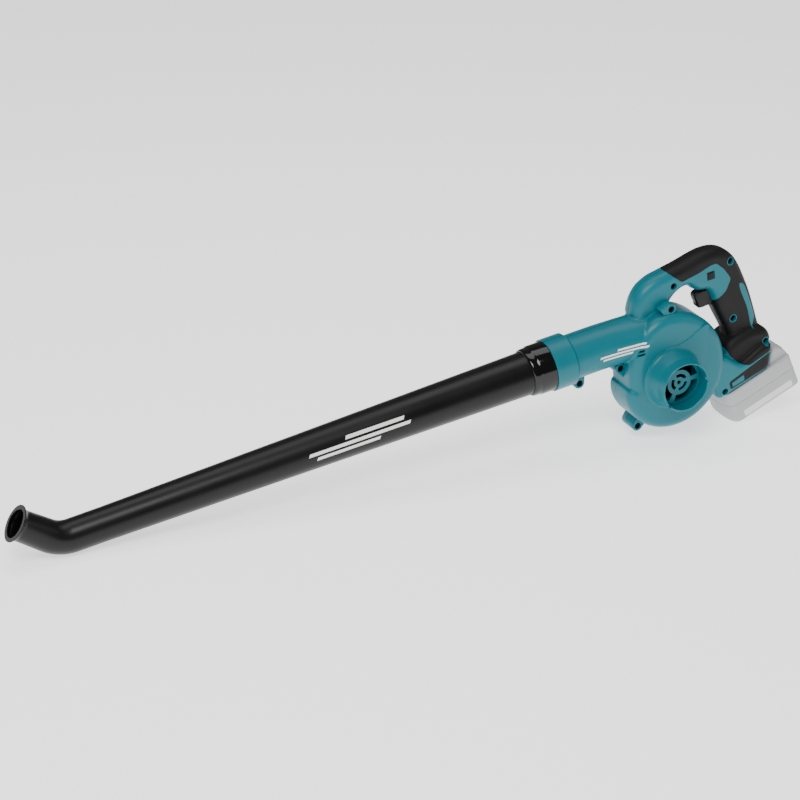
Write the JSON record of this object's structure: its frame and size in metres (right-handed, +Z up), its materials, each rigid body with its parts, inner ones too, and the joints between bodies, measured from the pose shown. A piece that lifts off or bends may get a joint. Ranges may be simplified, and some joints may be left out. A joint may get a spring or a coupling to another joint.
{
  "type": "leaf blower",
  "caption": "Hand-held cordless leaf blower: volute fan housing with a D-shaped soft-grip handle, long tapered nozzle with upturned tip, and slide-on battery pack under the handle.",
  "frame": {"origin": "centre of the bounding box at floor level, with the machine lying on the nozzle elbow and the front edge of the battery pack", "axes": "+X from the nozzle towards the battery, +Y from the air inlet side towards the motor side (the fan axis), +Z up"},
  "size_m": [1.1446, 0.1546, 0.2642],
  "materials": {
    "teal_plastic": "satin moulded",
    "grip_rubber": "matt",
    "black_plastic": "satin",
    "gloss_black_plastic": "polished",
    "satin_black_plastic": "satin",
    "grey_plastic": "fine texture",
    "steel": "machined",
    "dark_steel": "blued",
    "copper": "drawn copper wire and copper bars",
    "carbon": "pressed carbon",
    "board_green": "solder resist",
    "cell_sleeve": "shrink sleeve on a metal cell",
    "lead_red": "insulation",
    "lead_black": "insulation",
    "lead_yellow": "insulation",
    "lead_white": "insulation"
  },
  "bodies": {
    "housing": {"housing_left": "teal_plastic", "housing_right": "teal_plastic", "inlet_guard": "teal_plastic", "grip_left": "grip_rubber", "grip_right": "grip_rubber", "foot_panel_left": "black_plastic", "foot_panel_right": "black_plastic", "housing_screw_1": "dark_steel", "housing_screw_2": "dark_steel", "housing_screw_3": "dark_steel", "housing_screw_4": "dark_steel", "housing_screw_5": "dark_steel", "housing_screw_6": "dark_steel", "housing_screw_7": "dark_steel", "housing_screw_8": "dark_steel", "housing_screw_9": "dark_steel", "motor_can": "steel", "bearing_front": "steel", "motor_magnet": "dark_steel", "motor_end_cap": "black_plastic", "bearing_rear": "steel", "carbon_brush_1": "carbon", "carbon_brush_2": "carbon", "motor_screw_1": "steel", "motor_screw_2": "steel", "switch_body": "black_plastic", "terminal_block": "black_plastic", "terminal_positive": "copper", "terminal_negative": "copper", "lead_battery_positive": "lead_red", "lead_battery_negative": "lead_black", "lead_motor_1": "lead_yellow", "lead_motor_2": "lead_white"},
    "rotor": {"motor_shaft": "steel", "armature_core": "dark_steel", "armature_winding": "copper", "commutator": "copper", "impeller": "black_plastic", "fan_nut": "steel"},
    "trigger": {"trigger": "black_plastic", "trigger_spring": "steel"},
    "lock_button": {"lock_button": "black_plastic", "lock_spring": "steel"},
    "nozzle": {"nozzle_joint": "gloss_black_plastic", "nozzle_pipe": "satin_black_plastic"},
    "battery": {"battery_case_upper": "grey_plastic", "battery_case_lower": "grey_plastic", "battery_cell_1": "cell_sleeve", "battery_cell_2": "cell_sleeve", "battery_cell_3": "cell_sleeve", "battery_cell_4": "cell_sleeve", "battery_cell_5": "cell_sleeve", "battery_cell_6": "cell_sleeve", "battery_cell_7": "cell_sleeve", "battery_cell_8": "cell_sleeve", "battery_cell_9": "cell_sleeve", "battery_cell_10": "cell_sleeve", "battery_board": "board_green"},
    "battery_latch": {"battery_latch": "black_plastic", "latch_spring": "steel"}
  },
  "joints": [
    {"name": "impeller_spin", "type": "hinge", "parent": "housing", "child": "rotor", "pos_m": [0.35562, 0.00035, 0.09716], "axis": [0, 1, 0], "continuous": true},
    {"name": "trigger_pull", "type": "slide", "parent": "housing", "child": "trigger", "axis": [0.987, 0, 0.1605], "range_m": [0, 0.007], "stiffness_N_per_m": 600, "springref_m": -0.004, "deforming": ["trigger_spring"]},
    {"name": "lock_press", "type": "slide", "parent": "housing", "child": "lock_button", "axis": [0, 1, 0], "range_m": [0, 0.003], "stiffness_N_per_m": 900, "springref_m": -0.002, "deforming": ["lock_spring"]},
    {"name": "nozzle_twist", "type": "hinge", "parent": "housing", "child": "nozzle", "pos_m": [0.17952, 0.00035, 0.13094], "axis": [0.987, 0, 0.1605], "range_deg": [0, 30]},
    {"name": "pack_slide", "type": "slide", "parent": "housing", "child": "battery", "axis": [0.9119, 0, 0.4105], "range_m": [0, 0.085]},
    {"name": "latch_press", "type": "slide", "parent": "battery", "child": "battery_latch", "axis": [0.4105, 0, -0.9119], "range_m": [0, 0.0045], "stiffness_N_per_m": 900, "springref_m": -0.002, "deforming": ["latch_spring"]}
  ]
}
